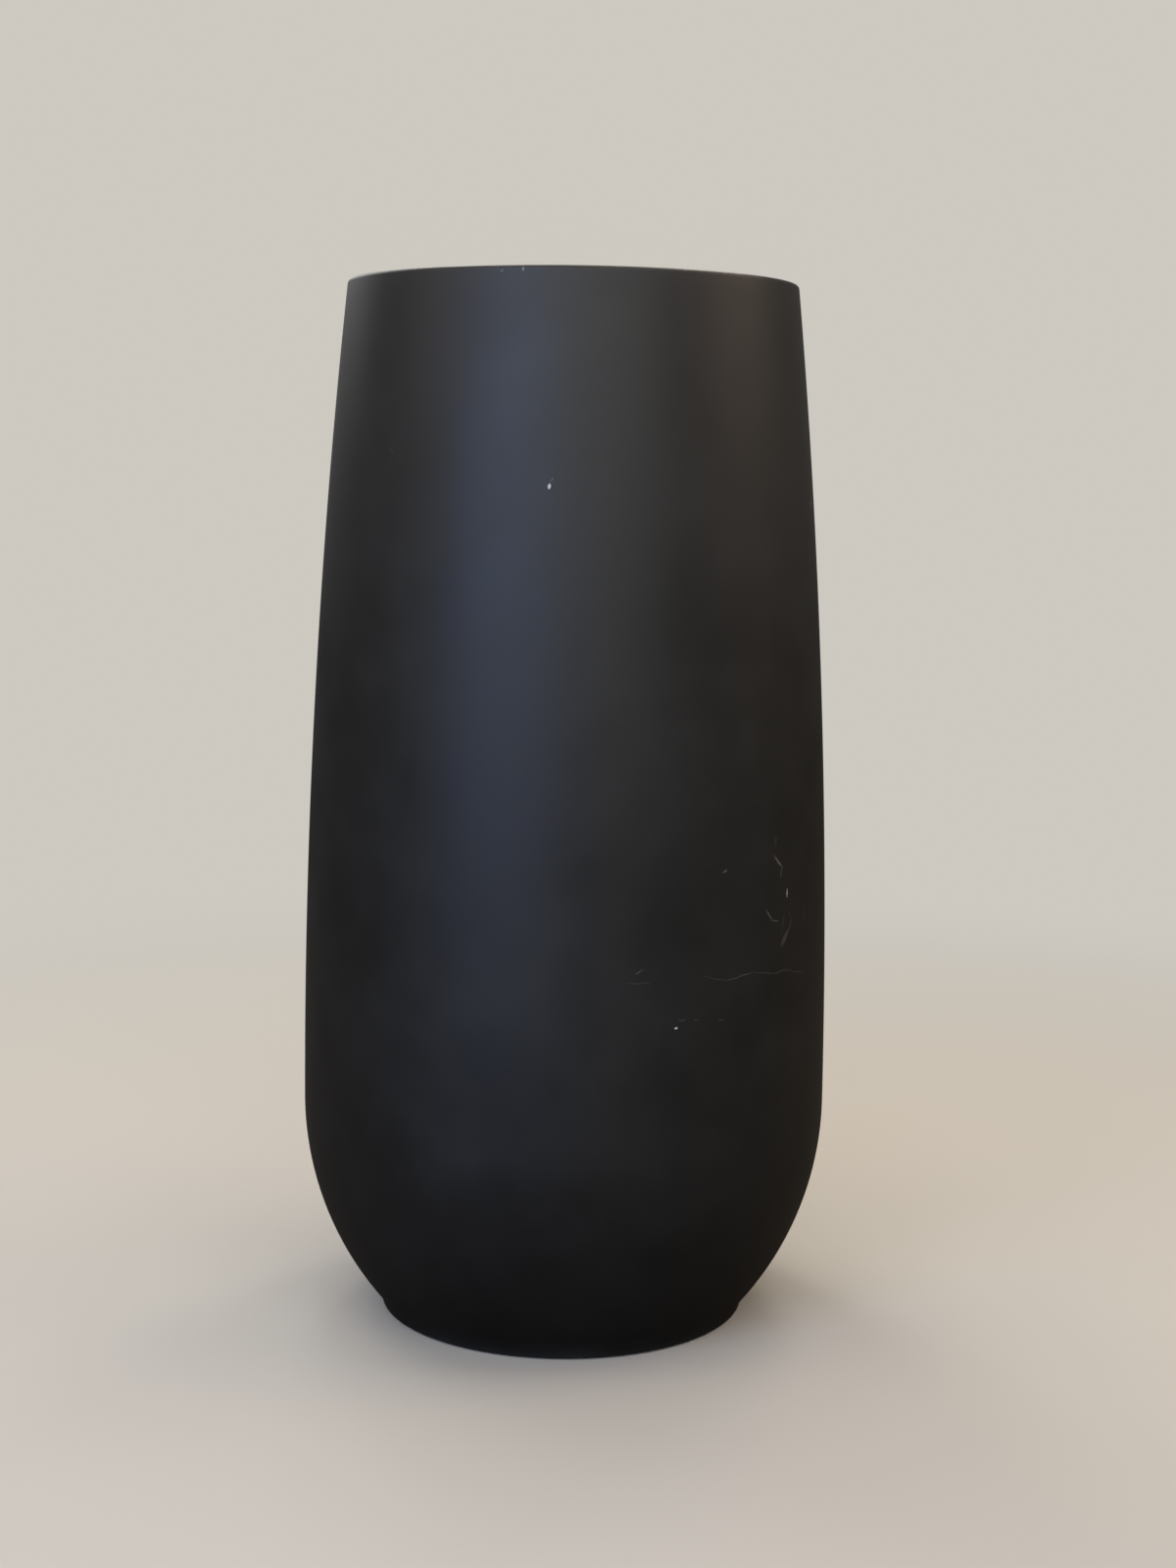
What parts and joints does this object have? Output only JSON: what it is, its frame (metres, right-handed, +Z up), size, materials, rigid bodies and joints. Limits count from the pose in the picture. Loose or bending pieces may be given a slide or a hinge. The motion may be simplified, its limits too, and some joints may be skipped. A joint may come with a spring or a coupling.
{
  "type": "floor planter",
  "caption": "Tall round floor planter with a low belly and a narrower mouth, holding a lift-out planting insert with fold-up handles.",
  "frame": {"origin": "on the floor, under the middle of the pot", "axes": "+Z up along the pot's axis; the handles fold up from the -X and +X sides; the picture looks along +Y"},
  "size_m": [0.4, 0.3998, 0.78],
  "materials": {
    "pot_shell": "matt black gel coat on glass-fibre laminate",
    "foot_rubber": "matt black",
    "plug_rubber": "matt black",
    "insert_plastic": "moulded, fine spark texture",
    "handle_bar_steel": "square stainless bar, brushed",
    "grip_plastic": "moulded, satin"
  },
  "bodies": {
    "pot": {"pot_shell": "pot_shell", "foot_pads": "foot_rubber"},
    "plug": {"drain_plug": "plug_rubber"},
    "insert": {"planting_insert": "insert_plastic"},
    "right_handle": {"right_handle_bar": "handle_bar_steel", "right_handle_grip": "grip_plastic"},
    "left_handle": {"left_handle_bar": "handle_bar_steel", "left_handle_grip": "grip_plastic"}
  },
  "joints": [
    {"name": "plug_lift", "type": "slide", "parent": "pot", "child": "plug", "axis": [0, 0, 1], "range_m": [0, 0.06]},
    {"name": "insert_lift", "type": "slide", "parent": "pot", "child": "insert", "axis": [0, 0, 1], "range_m": [0, 0.45]},
    {"name": "right_handle_fold", "type": "hinge", "parent": "insert", "child": "right_handle", "pos_m": [0.016, 0, 0.7728], "axis": [0, -1, 0], "range_deg": [0, 90]},
    {"name": "left_handle_fold", "type": "hinge", "parent": "insert", "child": "left_handle", "pos_m": [-0.016, 0, 0.7728], "axis": [0, 1, 0], "range_deg": [0, 90]}
  ]
}
